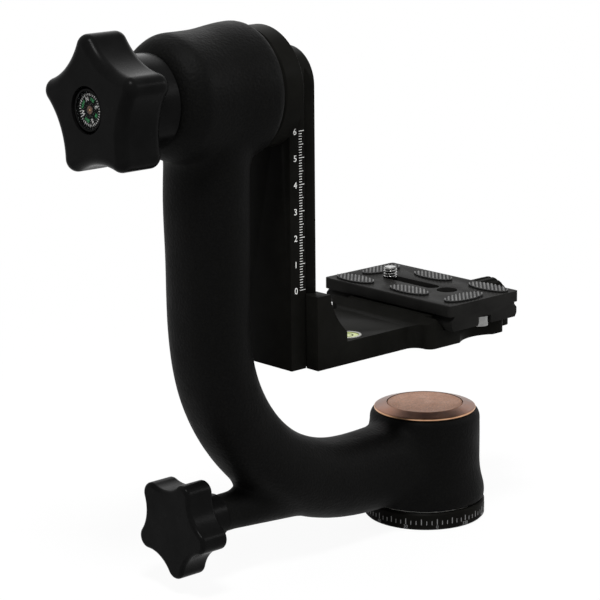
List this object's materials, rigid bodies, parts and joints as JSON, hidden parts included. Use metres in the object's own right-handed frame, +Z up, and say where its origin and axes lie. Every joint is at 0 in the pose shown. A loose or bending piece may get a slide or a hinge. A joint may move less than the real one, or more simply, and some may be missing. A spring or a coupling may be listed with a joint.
{
  "type": "gimbal tripod head",
  "caption": "Side-mounted gimbal tripod head: curved arm on a panning base, tilting rail cradle with a sliding platform and a quick-release camera plate.",
  "frame": {"origin": "on the pan axis at the underside of the base, at the mouth of the tripod socket", "axes": "+Z up along the pan axis; the tilt axis is parallel to X and the arm's column stands on the -X side; Y is the lens direction"},
  "size_m": [0.2391, 0.0849, 0.244],
  "materials": {
    "cast_black": "wrinkle black powder coat",
    "anodised": "satin black anodised",
    "plate_grey": "fine bead-blasted black anodised",
    "steel": "plain machined steel",
    "brass": "plain machined brass",
    "bronze_ring": "satin bronze anodised",
    "bronze_disc": "fine-grained bronze anodised",
    "bush": "sintered bronze",
    "knob": "satin black moulded",
    "ptfe": "plain white",
    "dial": "printed dial",
    "lens": "clear",
    "level_white": "white",
    "level_fluid": "yellow-green fluid",
    "rubber": "ribbed matt"
  },
  "bodies": {
    "base": {"pan_base": "anodised", "socket_bushing": "steel", "pan_spindle": "steel", "spindle_screws": "steel", "spindle_nut": "steel", "pan_thrust_washer": "ptfe"},
    "arm": {"swing_arm": "cast_black", "pan_bush_lower": "bush", "pan_bush_upper": "bush", "cap_ring": "bronze_ring", "cap_disc": "bronze_disc", "tilt_bush_inner": "bush", "tilt_bush_outer": "bush", "barrel_end_cover": "anodised"},
    "pan_shoe": {"pan_lock_shoe": "brass"},
    "pan_knob": {"pan_lock_screw": "steel", "pan_lock_knob": "knob"},
    "tilt_disc": {"tilt_lock_disc": "brass"},
    "tilt_knob": {"tilt_lock_screw": "steel", "tilt_lock_knob": "knob", "compass_case": "knob", "compass_pivot": "brass", "compass_lens": "lens"},
    "card": {"compass_card": "dial"},
    "cradle": {"tilt_shaft": "steel", "tilt_nut": "steel", "tilt_thrust_washer": "ptfe", "tilt_flange": "anodised", "swing_rail": "anodised", "rail_screws": "steel", "rail_stop_screw": "steel"},
    "platform": {"platform_bracket": "anodised", "level_ring": "level_white", "level_vial": "level_fluid"},
    "height_shoe": {"height_lock_shoe": "brass"},
    "height_knob": {"height_lock_screw": "steel", "height_lock_knob": "knob"},
    "jaw": {"movable_jaw": "anodised", "jaw_guide_pins": "steel"},
    "jaw_knob": {"clamp_screw": "steel", "clamp_knob": "anodised"},
    "plate": {"camera_plate": "plate_grey", "plate_pads": "rubber", "plate_stop_screws": "steel"},
    "washer": {"camera_screw_washer": "steel"},
    "screw": {"camera_screw": "steel"}
  },
  "joints": [
    {"name": "pan", "type": "hinge", "parent": "base", "child": "arm", "pos_m": [0, 0, 0], "axis": [0, 0, 1], "continuous": true},
    {"name": "pan_lock_press", "type": "slide", "parent": "arm", "child": "pan_shoe", "axis": [1, 0, 0], "range_m": [-0.00125, 0.0002]},
    {"name": "pan_lock_turn", "type": "hinge", "parent": "pan_shoe", "child": "pan_knob", "pos_m": [-0.1417, 0, 0.0291], "axis": [1, 0, 0], "range_deg": [-361, 58]},
    {"name": "tilt_lock_press", "type": "slide", "parent": "arm", "child": "tilt_disc", "axis": [1, 0, 0], "range_m": [-0.00125, 0.0002]},
    {"name": "tilt_lock_turn", "type": "hinge", "parent": "tilt_disc", "child": "tilt_knob", "pos_m": [-0.1714, 0, 0.214], "axis": [1, 0, 0], "range_deg": [-361, 58]},
    {"name": "compass_turn", "type": "hinge", "parent": "tilt_knob", "child": "card", "pos_m": [-0.1914, 0, 0.214], "axis": [1, 0, 0], "continuous": true},
    {"name": "tilt", "type": "hinge", "parent": "arm", "child": "cradle", "pos_m": [-0.11, 0, 0.214], "axis": [1, 0, 0], "continuous": true},
    {"name": "height", "type": "slide", "parent": "cradle", "child": "platform", "axis": [0, 0, 1], "range_m": [0, 0.07]},
    {"name": "height_lock_press", "type": "slide", "parent": "platform", "child": "height_shoe", "axis": [0, -1, 0], "range_m": [-0.00125, 0.0002]},
    {"name": "height_lock_turn", "type": "hinge", "parent": "height_shoe", "child": "height_knob", "pos_m": [-0.088, 0.034, 0.1089], "axis": [0, -1, 0], "range_deg": [-361, 58]},
    {"name": "jaw_open", "type": "slide", "parent": "platform", "child": "jaw", "axis": [1, 0, 0], "range_m": [0, 0.003]},
    {"name": "jaw_knob_turn", "type": "hinge", "parent": "jaw", "child": "jaw_knob", "pos_m": [0.0309, 0, 0.0945], "axis": [1, 0, 0], "range_deg": [-1, 1081]},
    {"name": "plate_slide", "type": "slide", "parent": "platform", "child": "plate", "axis": [0, 1, 0], "range_m": [-0.0081, 0.0017]},
    {"name": "camera_screw_slide", "type": "slide", "parent": "plate", "child": "washer", "axis": [0, 1, 0], "range_m": [-0.0273, 0]},
    {"name": "camera_screw_turn", "type": "hinge", "parent": "washer", "child": "screw", "pos_m": [0, 0.023, 0.0984], "axis": [0, 0, 1], "continuous": true}
  ],
  "couplings": [
    {"joint": "pan_lock_turn", "follows": "pan_lock_press", "rad_per_m": 5026.5},
    {"joint": "tilt_lock_turn", "follows": "tilt_lock_press", "rad_per_m": 5026.5},
    {"joint": "height_lock_turn", "follows": "height_lock_press", "rad_per_m": 5026.5},
    {"joint": "jaw_knob_turn", "follows": "jaw_open", "rad_per_m": 6283.2}
  ]
}
